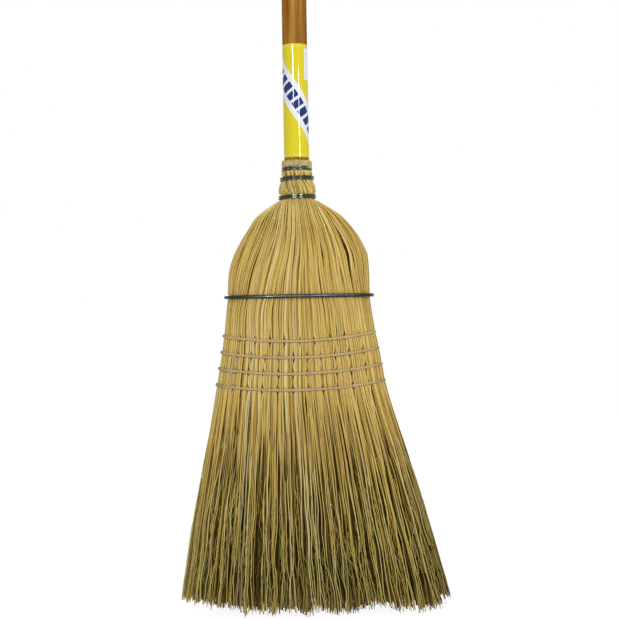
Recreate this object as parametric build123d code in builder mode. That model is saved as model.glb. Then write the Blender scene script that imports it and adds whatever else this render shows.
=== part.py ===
from build123d import *

import math
import os

os.makedirs("parts", exist_ok=True)

# A warehouse corn broom. Millimetres, +Z up, origin on the handle's axis at the floor, front face towards -Y.

# Handle
handle_diameter = 28.6
handle_length = 1067.0
handle_in_straw = 129.0
handle_taper = 40.0
handle_tip_diameter = 16.0
handle_crown = 9.0

# Label wrapped round the handle
label_length = 129.4
label_thickness = 0.4
label_seat = 0.2
label_above_straw = 2.6

# Straw head: heights of what is sewn or wound on it, and the straw's thickness over the handle
straw_length = 518.0
neck_length = 47.0
neck_top_straw = 3.0
neck_bulge_straw = 7.7
neck_foot_straw = 9.7
shoulder_straw = 11.6
hurl_thickness = 6.0
layer_gap = 0.3
wood_gap = 0.15

# Head outline from the neck down: drop below the neck, half width, edge radius
shoulder_top = (16.0, 42.0, 20.0)
shoulder_slope = (34.0, 58.7, 18.0)
shoulder_corner = (57.0, 75.0, 17.0)
shoulder_foot = (80.0, 80.5, 16.0)

# Head outline at the wire band, the rows of twine and the free straw: half width, half depth, edge radius
band_outline = (82.0, 25.0, 15.0)
first_row_outline = (86.0, 23.5, 13.0)
last_row_outline = (95.5, 23.0, 12.0)
free_outline = (107.6, 25.0, 13.0)

# Wire: a few turns inside the straw, and three groups of turns outside the neck, from the lowest up
wire_diameter = 1.9
wire_pitch = 2.5
wire_bend = 3.0
wire_in_wood = 6.0
wire_gap = 0.15
wire_hole_gap = 0.3
inner_turns = 4.5
inner_wire_drop = 18.6
inner_wire_straw = 1.2
group_drops = (44.4, 23.0, 12.0)
group_straw = (5.4, 3.4, 1.4)
group_turns = (1.5, 1.5, 1.36)
climb_turns = 0.5
climb_clearance = 0.7

# Wire band round the head
band_height = 362.0
band_diameter = 4.2
band_lap = 0.4
band_lap_gap = 0.8

# Rows of sewing twine
row_count = 4
first_row_height = 319.0
row_pitch = 18.5
row_sag = 8.0
row_tilt = 1.2
twine_diameter = 2.0
twine_gap = 0.3
twine_lay_gap = 0.6
twine_lap = 0.25
stitch_pitch = 16.5
stitch_rise = 3.1
stitch_bend = 1.7
stitch_tail = 1.7
link_edge_turn = 0.03
link_depth = 6.0

# Steps along the paths of the wire band and the twine
path_steps = 36

# Free straw: the line about which it bends, and its strands down to the floor
flex_height = 219.0
flex_margin = 2.0
free_top_drop = 6.0
strand_pitch_x = 4.6
strand_pitch_y = 4.8
strand_gap = 0.6
strand_root = 1.2
strand_tip_size = 2.8
core_columns = 21
fan_half_width = 154.8
fan_shift = 13.5
fan_half_depth = 35.0
corner_lift = 6.0
tip_scatter = 5.0

# Worked out from the sizes above
handle_radius = handle_diameter / 2
bore_radius = handle_radius + wood_gap
wire_radius = wire_diameter / 2
twine_radius = twine_diameter / 2
neck_foot = straw_length - neck_length
handle_foot = straw_length - handle_in_straw
handle_top = handle_foot + handle_length
label_foot = straw_length + label_above_straw
label_radius = handle_radius - label_seat
last_row_height = first_row_height - (row_count - 1) * row_pitch
free_top = flex_height - free_top_drop
neck_foot_radius = handle_radius + neck_foot_straw
shoulder_depth = handle_radius + shoulder_straw
shoulders = (shoulder_foot, shoulder_corner, shoulder_slope, shoulder_top)

# Sections of the head from the free straw up to the neck: height, half width, half depth, edge radius
sections = [(free_top, *free_outline)]
sections += [(last_row_height, *last_row_outline)]
sections += [(first_row_height, *first_row_outline)]
sections += [(band_height, *band_outline)]
sections += [(neck_foot - drop, width, shoulder_depth, edge) for drop, width, edge in shoulders]
sections += [(neck_foot, neck_foot_radius, neck_foot_radius, neck_foot_radius)]


def section_at(height):
    below, above = sections[0], sections[1]
    for lower, upper in zip(sections, sections[1:]):
        if height >= lower[0]:
            below, above = lower, upper
    share = (height - below[0]) / (above[0] - below[0])
    return [low + share * (high - low) for low, high in zip(below[1:], above[1:])]


def outline_arcs(width, depth, edge):
    # A face arc and an edge arc that meet in a tangent: face radius, and the corner where they meet
    if math.isclose(depth, edge):
        return depth, depth * math.sqrt(0.5), depth * math.sqrt(0.5)
    face = (width**2 + depth**2 - 2 * width * edge) / (2 * (depth - edge))
    reach = face / (face - edge)
    return face, reach * (width - edge), (reach - 1) * (face - depth)


def half_depth(height, x, inset=0.0):
    width, depth, edge = [size - inset for size in section_at(height)]
    if abs(x) >= width:
        return 0.0
    face, corner_x, corner_y = outline_arcs(width, depth, edge)
    if abs(x) <= corner_x:
        return math.sqrt(face**2 - x**2) - (face - depth)
    return math.sqrt(edge**2 - (abs(x) - (width - edge)) ** 2)


def rim_point(height, turn, out):
    # A point on the outline: turn 0 to 1 is the front, 1 to 2 the right edge, then the back and the left edge
    width, depth, edge = section_at(height)
    face, corner_x, corner_y = outline_arcs(width, depth, edge)
    face_angle = math.asin(corner_x / face)
    edge_angle = math.atan2(corner_y, corner_x - (width - edge))
    side = math.floor(turn) % 4
    swing = 2 * (turn - math.floor(turn)) - 1
    sign = 1 if side < 2 else -1
    if side % 2 == 0:
        angle = swing * face_angle
        x = (face + out) * math.sin(angle)
        y = (face - depth) - (face + out) * math.cos(angle)
    else:
        angle = swing * edge_angle
        x = (width - edge) + (edge + out) * math.cos(angle)
        y = (edge + out) * math.sin(angle)
    return sign * x, sign * y


def row_height(row, x):
    height = first_row_height - row * row_pitch
    share = x / section_at(height)[0]
    return height - row_sag * (1 - share**2) + row_tilt * share


def row_point(row, turn, out, rise=0.0):
    height = first_row_height - row * row_pitch
    x, y = rim_point(height, turn, out)
    height = row_height(row, x) + rise
    x, y = rim_point(height, turn, out)
    return x, y, height


def arc_to(start, aim, end):
    chord = (end - start).normalized()
    if chord.cross(aim).length < 1e-6:
        Line(start, end)
    else:
        TangentArc(start, end, tangent=aim)


def trace(route, knots, nudge):
    # Two tangent arcs from each knot of the route to the next
    points = [Vector(*route(knot)) for knot in knots]
    aims = [(Vector(*route(knot + nudge)) - Vector(*route(knot - nudge))).normalized() for knot in knots]
    for start, end, aim, last_aim in zip(points, points[1:], aims, aims[1:]):
        span = end - start
        both = aim + last_aim
        bend = 2 * (1 - aim.dot(last_aim))
        if bend < 1e-9:
            reach = span.dot(span) / (2 * span.dot(both))
        else:
            reach = (math.sqrt(span.dot(both) ** 2 + bend * span.dot(span)) - span.dot(both)) / bend
        middle = (start + end + (aim - last_aim) * reach) / 2
        middle_aim = ((end - last_aim * reach) - (start + aim * reach)).normalized()
        arc_to(start, aim, middle)
        arc_to(middle, middle_aim, end)


def swept_tube(path, radius):
    with BuildPart() as tube:
        with BuildSketch(Plane(origin=path @ 0, z_dir=path % 0)):
            Circle(radius)
        sweep(path=path)
    return tube.part


def least_gap(path, diameter):
    # Space between passes of one tube, from points along it that lie more than a few diameters apart
    count = int(path.length / (diameter / 2))
    step = path.length / count
    apart = int(4 * diameter / step)
    points = [path @ (index / count) for index in range(count + 1)]
    spans = [
        (first - second).length
        for index, first in enumerate(points)
        for second in points[index + apart :]
    ]
    return min(spans) - diameter


# Straw of the head as one lofted body, drawn in from the outline by a depth

def head_body(inset):
    with BuildPart() as body:
        for height, width, depth, edge in sections:
            face, corner_x, corner_y = outline_arcs(width - inset, depth - inset, edge - inset)
            with BuildSketch(Plane.XY.offset(height)):
                with BuildLine():
                    ThreePointArc((-corner_x, -corner_y), (0, inset - depth), (corner_x, -corner_y))
                    ThreePointArc((corner_x, -corner_y), (width - inset, 0), (corner_x, corner_y))
                    ThreePointArc((corner_x, corner_y), (0, depth - inset), (-corner_x, corner_y))
                    ThreePointArc((-corner_x, corner_y), (inset - width, 0), (-corner_x, -corner_y))
                make_face()
        loft(ruled=True)
    return body.part


outer_head = head_body(0.0)
inner_room = head_body(hurl_thickness)
inner_head = head_body(hurl_thickness + layer_gap)

# Straw butts round the handle, drawn in under each group of wire turns and swelling between them

group_heights = [straw_length - drop for drop in group_drops]
group_floors = [bore_radius + straw for straw in group_straw]
wire_room = wire_radius + wire_gap
group_radii = [floor + wire_room for floor in group_floors]
bulge_radius = handle_radius + neck_bulge_straw
neck_top_radius = handle_radius + neck_top_straw
swells = [bulge_radius, group_floors[1] + wire_room]
group_feet = [height - wire_room for height in group_heights]
group_heads = [height + turns * wire_pitch + wire_room for height, turns in zip(group_heights, group_turns)]


def swell_line(start, end):
    # Two arcs that leave and arrive upright
    middle = ((start[0] + end[0]) / 2, (start[1] + end[1]) / 2)
    TangentArc(start, middle, tangent=(0, 1))
    TangentArc(end, middle, tangent=(0, -1))


with BuildPart() as butts:
    with BuildSketch(Plane.XZ):
        with BuildLine():
            Polyline((bore_radius, neck_foot), (neck_foot_radius, neck_foot), (group_floors[0], group_feet[0]))
            for floor, foot, head in zip(group_floors, group_feet, group_heads):
                Line((floor, foot), (floor, head))
            for group, swell in enumerate(swells):
                crest = (swell, (group_heads[group] + group_feet[group + 1]) / 2)
                swell_line((group_floors[group], group_heads[group]), crest)
                swell_line(crest, (group_floors[group + 1], group_feet[group + 1]))
            swell_line((group_floors[-1], group_heads[-1]), (neck_top_radius, straw_length))
            Polyline((neck_top_radius, straw_length), (bore_radius, straw_length), (bore_radius, neck_foot))
        make_face()
    revolve(axis=Axis.Z)

# Wire stages: turns, first and last height, first and last radius, and how far a climb stands out at its middle

inner_wire_height = neck_foot - inner_wire_drop
inner_wire_head = inner_wire_height + inner_turns * wire_pitch
inner_wire_radius = bore_radius + inner_wire_straw + wire_room
inner_stages = [(inner_turns, inner_wire_height, inner_wire_head, inner_wire_radius, inner_wire_radius, 0.0)]

neck_stages = []
for group, (height, radius, turns) in enumerate(zip(group_heights, group_radii, group_turns)):
    if group:
        last_height, last_radius = neck_stages[-1][2], neck_stages[-1][4]
        swell = swells[group - 1] + wire_room + climb_clearance - (last_radius + radius) / 2
        neck_stages.append((climb_turns, last_height, height, last_radius, radius, swell))
    neck_stages.append((turns, height, height + turns * wire_pitch, radius, radius, 0.0))


def wound_wire(stages, first_turn):
    # The route of a wire whose two ends turn in and go into the handle, and the holes for those ends
    turn_count = sum(stage[0] for stage in stages)
    end_radius = handle_radius - wire_in_wood

    def wire_point(turn):
        passed = 0.0
        for turns, low, high, first_radius, last_radius, swell in stages:
            share = (turn - passed) / turns
            if share <= 1.0:
                break
            passed += turns
        share = min(share, 1.0)
        if swell:
            share = share**2 * (3 - 2 * share)
        radius = first_radius + share * (last_radius - first_radius) + swell * math.sin(math.pi * share) ** 2
        angle = 2 * math.pi * (turn + first_turn)
        return radius * math.cos(angle), radius * math.sin(angle), low + share * (high - low)

    def wire_end(turn, way, last_radius):
        angle = 2 * math.pi * (turn + first_turn)
        outward = Vector(math.cos(angle), math.sin(angle))
        onward = Vector(-math.sin(angle), math.cos(angle)) * way
        spot = Vector(*wire_point(turn))
        bend = spot + (onward - outward) * wire_bend
        with BuildLine() as end:
            TangentArc(spot, bend, tangent=onward)
            Line(bend, bend - outward * (bend.dot(outward) - last_radius))
        return end.wire()

    knots = [index / 4 for index in range(math.floor(4 * turn_count) + 1)]
    if turn_count - knots[-1] > 0.01:
        knots.append(turn_count)
    both_ends = ((0.0, -1), (turn_count, 1))
    with BuildLine() as path:
        trace(wire_point, knots, 1e-3)
        add([wire_end(turn, way, end_radius) for turn, way in both_ends])
    hole_paths = [wire_end(turn, way, end_radius - wire_hole_gap) for turn, way in both_ends]
    return path.wire(), [swept_tube(hole_path, wire_radius + wire_hole_gap) for hole_path in hole_paths]


inner_route, inner_holes = wound_wire(inner_stages, 0.25)
neck_route, neck_holes = wound_wire(neck_stages, 0.5)

with BuildPart() as inner_wire:
    add(swept_tube(inner_route, wire_radius))
inner_wire.part.label = "inner_wire"
export_step(inner_wire.part, "parts/inner_wire.step")

with BuildPart() as binding_wire:
    add(swept_tube(neck_route, wire_radius))
binding_wire.part.label = "binding_wire"
export_step(binding_wire.part, "parts/binding_wire.step")

# Handle: round stick, domed above, tapered inside the straw, with a seat for the label and holes for the wires' ends

with BuildPart() as handle:
    with BuildSketch(Plane.XZ):
        with BuildLine():
            shoulder_edge = (handle_radius, handle_top - handle_crown)
            TangentArc((0, handle_top), shoulder_edge, tangent=(1, 0))
            Polyline(
                shoulder_edge,
                (handle_radius, handle_foot + handle_taper),
                (handle_tip_diameter / 2, handle_foot),
                (0, handle_foot),
                (0, handle_top),
            )
        make_face()
    revolve(axis=Axis.Z)
    with BuildSketch(Plane.XY.offset(label_foot)):
        Circle(handle_diameter)
        Circle(label_radius, mode=Mode.SUBTRACT)
    extrude(amount=label_length, mode=Mode.SUBTRACT)
    add(inner_holes + neck_holes, mode=Mode.SUBTRACT)
handle.part.label = "handle"
export_step(handle.part, "parts/handle.step")

with BuildPart() as label_sleeve:
    with BuildSketch(Plane.XY.offset(label_foot)):
        Circle(label_radius + label_thickness)
        Circle(label_radius, mode=Mode.SUBTRACT)
    extrude(amount=label_length)
label_sleeve.part.label = "label_sleeve"
export_step(label_sleeve.part, "parts/label_sleeve.step")

# Wire band: one turn round the head, level on the front and round both edges, its ends lapped on the back

band_radius = band_diameter / 2
band_lay = band_diameter + band_lap_gap
band_start = 2.5 - band_lap / 2
band_turns = 4.0 + band_lap
band_climb = 0.5 - band_lap / 2


def band_point(turn):
    # It climbs on the back, between the lap and each edge
    height = band_height - band_lay / 2
    for climb_start in (band_start + band_lap, 6.0):
        share = min(max((turn - climb_start) / band_climb, 0.0), 1.0)
        height += band_lay / 2 * share**2 * (3 - 2 * share)
    x, y = rim_point(height, turn, band_radius + layer_gap)
    return x, y, height


with BuildLine() as band_path:
    band_knots = [band_start + band_turns * index / path_steps for index in range(path_steps + 1)]
    trace(band_point, band_knots, 1e-3)

with BuildPart() as wire_band:
    add(swept_tube(band_path.wire(), band_radius))
wire_band.part.label = "wire_band"
export_step(wire_band.part, "parts/wire_band.step")

# Twine: in each row a band laid round the head, and a lacing that goes through the straw and over the band

twine_room = twine_radius + twine_gap
twine_lay = twine_diameter + twine_lay_gap
lacing_out = 2 * twine_room + twine_radius
twine_start = 3.5 - twine_lap
twine_turns = 4.0 + 2 * twine_lap
twine_gaps = []
stitch_runs = []
link_runs = []

for row in range(row_count):

    def twine_point(turn):
        return row_point(row, turn, twine_room, twine_lay * ((turn - twine_start) / 4.0 - 0.5))

    with BuildLine() as twine_path:
        twine_knots = [twine_start + twine_turns * index / path_steps for index in range(path_steps + 1)]
        trace(twine_point, twine_knots, 1e-3)
    twine_gaps.append(least_gap(twine_path.wire(), twine_diameter))
    with BuildPart() as twine_band:
        add(swept_tube(twine_path.wire(), twine_radius))
    name = f"twine_band_{row + 1}"
    twine_band.part.label = name
    export_step(twine_band.part, f"parts/{name}.step")

    row_width = outline_arcs(*section_at(first_row_height - row * row_pitch))[1]
    stitches = round(2 * row_width / stitch_pitch)
    lacing = []
    for stitch in range(stitches):
        share = (stitch + 0.5) / stitches
        for turn, rise in ((share, 1), (share, -1), (3.0 - share, -1), (3.0 - share, 1)):
            lacing.append(Vector(*row_point(row, turn, lacing_out, rise * stitch_rise)))
    stitch_runs += list(zip(lacing[1::2], lacing[2::2]))
    lacing[0] += Vector(0, 0, stitch_tail)
    lacing[-1] += Vector(0, 0, stitch_tail)
    with BuildLine() as lacing_path:
        FilletPolyline(*lacing, radius=stitch_bend)
    with BuildPart() as twine_lacing:
        add(swept_tube(lacing_path.wire(), twine_radius))
    name = f"twine_lacing_{row + 1}"
    twine_lacing.part.label = name
    export_step(twine_lacing.part, f"parts/{name}.step")

# Links: the twine's steps from the second row to the third and from the third to the fourth, at the left

links = []
for row in range(1, row_count - 1):
    top = Vector(*row_point(row, link_edge_turn, twine_room, -2 * stitch_rise))
    foot = Vector(*row_point(row + 1, link_edge_turn, twine_room, 2 * stitch_rise))
    inward = Vector(0, link_depth, 0)
    with BuildLine() as link_path:
        FilletPolyline(top + inward, top, foot, foot + inward, radius=stitch_bend)
    links.append(swept_tube(link_path.wire(), twine_radius))
    link_runs += [(top - inward, top + inward), (foot - inward, foot + inward)]

with BuildPart() as twine_links:
    add(links)
twine_links.part.label = "twine_links"
export_step(twine_links.part, "parts/twine_links.step")


def twine_holes(runs):
    # Round holes for straight runs of twine, through the part that is being built
    for length in sorted({round((end - start).length, 1) for start, end in runs}):
        spots = [
            Plane(origin=(start + end) / 2, z_dir=end - start)
            for start, end in runs
            if round((end - start).length, 1) == length
        ]
        with Locations(*spots):
            Cylinder(twine_room, length + twine_diameter, mode=Mode.SUBTRACT)


# Where the bound straw ends and the free straw begins: a round joint through the whole depth of the head

flex_radius = half_depth(flex_height, 0.0) + flex_margin
reach_x = 2 * fan_half_width
reach_y = 2 * fan_half_depth


def flex_body(radius):
    with BuildPart() as body:
        with BuildSketch(Plane.YZ.offset(-reach_x / 2)):
            with Locations((0, flex_height)):
                Circle(radius)
            with Locations((0, flex_height)):
                Rectangle(reach_y, flex_height, align=(Align.CENTER, Align.MAX))
        extrude(amount=reach_x)
    return body.part


bound_cut = flex_body(flex_radius + layer_gap)
free_room = flex_body(flex_radius)

# The inner straw is in three bundles, parted by a slanted plane on each side

core_half_width = strand_pitch_x * core_columns / 2
core_top_half_width = inner_wire_radius + wire_diameter
core_lean = (core_half_width - core_top_half_width) / (neck_foot - free_top)


def core_room(half_gap):
    # The middle bundle's space, widened on each side
    with BuildPart() as room:
        with BuildSketch(Plane.XZ):
            with BuildLine():
                Polyline(
                    (-core_half_width - half_gap, free_top),
                    (core_half_width + half_gap, free_top),
                    (core_top_half_width + half_gap, neck_foot),
                    (-core_top_half_width - half_gap, neck_foot),
                    close=True,
                )
            make_face()
        extrude(amount=reach_y / 2, both=True)
    return room.part


core_space = core_room(-layer_gap / 2)
core_cut = core_room(layer_gap / 2)
half_seam = layer_gap / 2
sides = {"left": (Plane.YZ, Keep.BOTTOM), "right": (Plane.YZ, Keep.TOP)}
faces = {"front": (Plane.XZ.offset(half_seam), Keep.TOP), "back": (Plane.XZ.offset(-half_seam), Keep.BOTTOM)}

# Bound straw: the hurl that covers the front and the back, from the butts to the last row

for face_name, (seam, kept) in faces.items():
    with BuildPart() as hurl:
        add(outer_head)
        add(inner_room, mode=Mode.SUBTRACT)
        with Locations((0, 0, neck_foot)):
            Cylinder(bore_radius, 2 * neck_length, mode=Mode.SUBTRACT)
        add(bound_cut, mode=Mode.SUBTRACT)
        add(butts.part)
        split(bisect_by=seam, keep=kept)
        add(neck_holes, mode=Mode.SUBTRACT)
        twine_holes(stitch_runs)
        if face_name == "front":
            twine_holes(link_runs)
    name = f"{face_name}_hurl"
    hurl.part.label = name
    export_step(hurl.part, f"parts/{name}.step")

# Bound straw inside: the stalks round the handle, and a shoulder on each side

with BuildPart() as inner_stalks:
    add(inner_head)
    add(core_space, mode=Mode.INTERSECT)
    add(bound_cut, mode=Mode.SUBTRACT)
    with BuildSketch(Plane.XZ):
        with BuildLine():
            Polyline(
                (0, handle_foot - wood_gap),
                (handle_tip_diameter / 2 + wood_gap, handle_foot - wood_gap),
                (bore_radius, handle_foot + handle_taper),
                (bore_radius, straw_length),
                (0, straw_length),
                close=True,
            )
        make_face()
        with Locations((inner_wire_radius, (inner_wire_height + inner_wire_head) / 2)):
            pocket_room = 2 * (wire_room + wire_hole_gap)
            Rectangle(pocket_room, inner_wire_head - inner_wire_height + pocket_room)
    revolve(axis=Axis.Z, mode=Mode.SUBTRACT)
    add(inner_holes, mode=Mode.SUBTRACT)
    twine_holes(stitch_runs)
inner_stalks.part.label = "inner_stalks"
export_step(inner_stalks.part, "parts/inner_stalks.step")

for side_name, (middle, kept) in sides.items():
    with BuildPart() as shoulder:
        add(inner_head)
        add(core_cut, mode=Mode.SUBTRACT)
        add(bound_cut, mode=Mode.SUBTRACT)
        split(bisect_by=middle, keep=kept)
        twine_holes(stitch_runs)
    name = f"{side_name}_shoulder"
    shoulder.part.label = name
    export_step(shoulder.part, f"parts/{name}.step")

# Free straw: strands that spread from the joint to the floor, in the same five bundles

strand_width = strand_pitch_x - strand_gap
strand_depth = strand_pitch_y - strand_gap
free_width, free_depth, free_edge = free_outline
columns = int((free_width - strand_width / 2) / strand_pitch_x)
layers = int(free_depth / strand_pitch_y)


def strand(x, y, depth, column, layer):
    # One strand of four sides, from inside the bundle's head down to its tip
    share = x / (columns * strand_pitch_x)
    tip_x = share * (fan_half_width - strand_tip_size / 2) + fan_shift * share**2
    tip_y = y * fan_half_depth / (free_depth - hurl_thickness / 2)
    tip_z = corner_lift * share**2
    if (column + layer) % 3:
        tip_z += tip_scatter * (0.5 + 0.5 * math.sin(7.3 * column + 4.1 * layer))
    if abs(share) < 0.5 and (column + layer) % 3 == 0:
        tip_z = 0.0
    with BuildPart() as body:
        with BuildSketch(Plane.XY.offset(tip_z)):
            with Locations((tip_x, tip_y)):
                Rectangle(strand_tip_size, strand_tip_size * depth / strand_depth)
        with BuildSketch(Plane.XY.offset(free_top + strand_root)):
            with Locations((x, y)):
                Rectangle(strand_width, depth)
        loft(ruled=True)
    return body.part


bundles = {"front": [], "back": [], "left": [], "right": [], "inner": []}
for column in range(-columns, columns + 1):
    x = column * strand_pitch_x
    far_x, near_x = abs(x) + strand_width / 2, abs(x) - strand_width / 2
    hurl_outside = half_depth(free_top, far_x) - strand_gap / 2
    hurl_inside = half_depth(free_top, near_x, hurl_thickness) + strand_gap / 2
    if hurl_outside - hurl_inside > strand_gap:
        y = (hurl_outside + hurl_inside) / 2
        bundles["front"].append(strand(x, -y, hurl_outside - hurl_inside, column, 0))
        bundles["back"].append(strand(x, y, hurl_outside - hurl_inside, column, 1))
    bundle = "inner" if abs(x) < core_half_width else "left" if x < 0 else "right"
    inside_room = half_depth(free_top, far_x, hurl_thickness + layer_gap)
    for layer in range(-layers, layers + 1):
        y = layer * strand_pitch_y
        if abs(y) + strand_pitch_y / 2 < inside_room:
            bundles[bundle].append(strand(x, y, strand_depth, column, layer))


def export_free_straw(bundle, block):
    name = f"{bundle}_free_straw"
    block.part.label = name
    export_step(block.part, f"parts/{name}.step")


for face_name, (seam, kept) in faces.items():
    with BuildPart() as free_hurl:
        add(outer_head)
        add(inner_room, mode=Mode.SUBTRACT)
        add(free_room, mode=Mode.INTERSECT)
        split(bisect_by=seam, keep=kept)
        add(bundles[face_name])
    export_free_straw(face_name, free_hurl)

with BuildPart() as free_core:
    add(inner_head)
    add(core_space, mode=Mode.INTERSECT)
    add(free_room, mode=Mode.INTERSECT)
    add(bundles["inner"])
export_free_straw("inner", free_core)

for side_name, (middle, kept) in sides.items():
    with BuildPart() as free_shoulder:
        add(inner_head)
        add(core_cut, mode=Mode.SUBTRACT)
        add(free_room, mode=Mode.INTERSECT)
        split(bisect_by=middle, keep=kept)
        add(bundles[side_name])
    export_free_straw(side_name, free_shoulder)

print("overall height", round(handle_top, 1))
print("strands", sum(len(strands) for strands in bundles.values()))
print("least gap of inner wire", round(least_gap(inner_route, wire_diameter), 2))
print("least gap of binding wire", round(least_gap(neck_route, wire_diameter), 2))
print("least gap of wire band", round(least_gap(band_path.wire(), band_diameter), 2))
print("least gap of twine bands", [round(gap, 2) for gap in twine_gaps])
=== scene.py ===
import bpy
import bmesh
import math
import numpy as np
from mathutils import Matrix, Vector


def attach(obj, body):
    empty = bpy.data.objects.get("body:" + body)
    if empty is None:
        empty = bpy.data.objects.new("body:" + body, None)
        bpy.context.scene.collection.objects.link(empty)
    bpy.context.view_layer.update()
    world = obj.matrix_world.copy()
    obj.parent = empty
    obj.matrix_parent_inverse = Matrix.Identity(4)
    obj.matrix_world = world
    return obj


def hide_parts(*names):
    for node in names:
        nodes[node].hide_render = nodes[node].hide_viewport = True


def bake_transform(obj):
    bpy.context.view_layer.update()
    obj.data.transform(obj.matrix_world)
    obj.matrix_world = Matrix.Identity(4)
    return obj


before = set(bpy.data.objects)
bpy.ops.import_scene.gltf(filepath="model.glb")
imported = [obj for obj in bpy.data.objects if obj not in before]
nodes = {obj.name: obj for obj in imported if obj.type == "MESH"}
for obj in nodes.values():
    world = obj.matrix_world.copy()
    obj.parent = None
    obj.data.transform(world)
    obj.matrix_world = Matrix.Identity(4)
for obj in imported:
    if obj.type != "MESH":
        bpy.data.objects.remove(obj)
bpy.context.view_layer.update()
scene = bpy.context.scene
dice = np.random.default_rng(11)
mm = 0.001
print("frame loaded:", len(nodes), "nodes")


# Finishes

def setInputs(node, values):
    for key, value in values.items():
        if isinstance(value, Tone):
            node.id_data.links.new(value.socket, node.inputs[key])
        else:
            node.inputs[key].default_value = value


class Tone:  # one output socket of a finish: sums on it add Math nodes
    def __init__(self, tree, socket=None):
        self.tree = tree
        self.socket = socket

    def node(self, kind, settings, inputs, out=0):
        made = self.tree.nodes.new(kind)
        for name, value in settings.items():
            if name == "stops":
                elements = made.color_ramp.elements
                while len(elements) < len(value):
                    elements.new(1.0)
                for element, (place, colour) in zip(elements, value):
                    element.position = place
                    element.color = (*colour, 1.0)
            else:
                setattr(made, name, value)
        setInputs(made, inputs)
        return Tone(self.tree, made.outputs[out])

    def sum(self, operation, first, second):
        return self.node("ShaderNodeMath", {"operation": operation}, {0: first, 1: second})

    def __add__(self, other):
        return self.sum("ADD", self, other)

    __radd__ = __add__

    def __sub__(self, other):
        return self.sum("SUBTRACT", self, other)

    def __rsub__(self, other):
        return self.sum("SUBTRACT", other, self)

    def __mul__(self, other):
        return self.sum("MULTIPLY", self, other)

    __rmul__ = __mul__

    def __gt__(self, other):
        return self.sum("GREATER_THAN", self, other)

    def __lt__(self, other):
        return self.sum("LESS_THAN", self, other)

    def __abs__(self):
        return self.sum("ABSOLUTE", self, 0.0)

    def within(self, low, high):
        return (self > low) * (self < high)

    def mix(self, share, first, second, blend="MIX"):
        settings = {"data_type": "RGBA", "blend_type": blend}
        return self.node("ShaderNodeMix", settings, {0: share, 6: first, 7: second}, 2)

    def shaded(self, share, colour, shade):
        return self.mix(share, colour, self.mix(1.0, colour, shade, "MULTIPLY"))

    def fade(self, low, high, start=0.0, end=1.0):
        ends = {"Value": self, "From Min": low, "From Max": high, "To Min": start, "To Max": end}
        return self.node("ShaderNodeMapRange", {"interpolation_type": "SMOOTHSTEP"}, ends)

    def ramp(self, *stops):
        return self.node("ShaderNodeValToRGB", {"stops": stops}, {0: self})

    def noise(self, place, scale, detail):
        return self.node("ShaderNodeTexNoise", {}, {"Vector": place, "Scale": scale, "Detail": detail})

    def part(self, axis):
        return self.node("ShaderNodeSeparateXYZ", {}, {0: self}, axis)

    def bump(self, strength, distance):
        return self.node("ShaderNodeBump", {}, {"Strength": strength, "Distance": distance, "Height": self})


def grey(level):
    return (level, level, level, 1.0)


def newFinish(name):
    material = bpy.data.materials.new(name)
    material.use_nodes = True
    tree = material.node_tree
    return material, tree.nodes["Principled BSDF"], Tone(tree)


def objectPlace(tone, stretch=(1.0, 1.0, 1.0)):
    place = tone.node("ShaderNodeTexCoord", {}, {}, "Object")
    return tone.node("ShaderNodeMapping", {}, {"Vector": place, "Scale": stretch})


def longNoise(tone, squeeze, scale, detail):
    # noise drawn out along the broom
    return tone.noise(objectPlace(tone, (1.0, 1.0, squeeze)), scale, detail)


def mark(tone, name):
    return tone.node("ShaderNodeAttribute", {"attribute_name": name}, {}, "Fac")


# Straw: each stalk has its own tone and hue and streaks along it, and goes olive towards the tips
strawLook = {
    "upper": (
        (0.0, (0.32, 0.19, 0.042)),
        (0.12, (0.44, 0.28, 0.062)),
        (0.35, (0.52, 0.36, 0.085)),
        (0.65, (0.57, 0.41, 0.108)),
        (0.85, (0.63, 0.48, 0.16)),
        (0.94, (0.68, 0.55, 0.23)),
        (1.0, (0.50, 0.32, 0.08)),
    ),
    "hues": (
        (0.0, (1.03, 0.95, 0.84)),
        (0.3, (1.0, 1.0, 1.0)),
        (0.7, (0.98, 1.02, 1.17)),
        (1.0, (0.98, 1.01, 1.45)),
    ),
    "streaks": 0.30,
    "tipShade": (0.825, 0.915, 0.87, 1.0), "tipHeights": (0.015, 0.205),
    "sewnShade": (1.04, 1.06, 1.11, 1.0), "sewnFoot": (0.235, 0.26), "sewnTop": (0.325, 0.345),
    "endShade": (0.99, 0.87, 0.86, 1.0), "endHeights": (0.012, 0.050), "endTints": (0.35, 0.65),
    "neckShade": (1.10, 1.15, 1.18, 1.0), "neckHeights": (0.43, 0.465),
    "fleckShade": grey(0.5), "fleckFrom": (0.58, 0.8), "flecks": 0.45,
    # the colour the deep mark darkens towards: painted shade on deep and sunk fibres, and a darker tone on
    # some strands
    "darkStrandsAndPaintedShade": (0.10, 0.092, 0.012, 1.0),
    "roughness": (0.42, 0.62),
}


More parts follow.
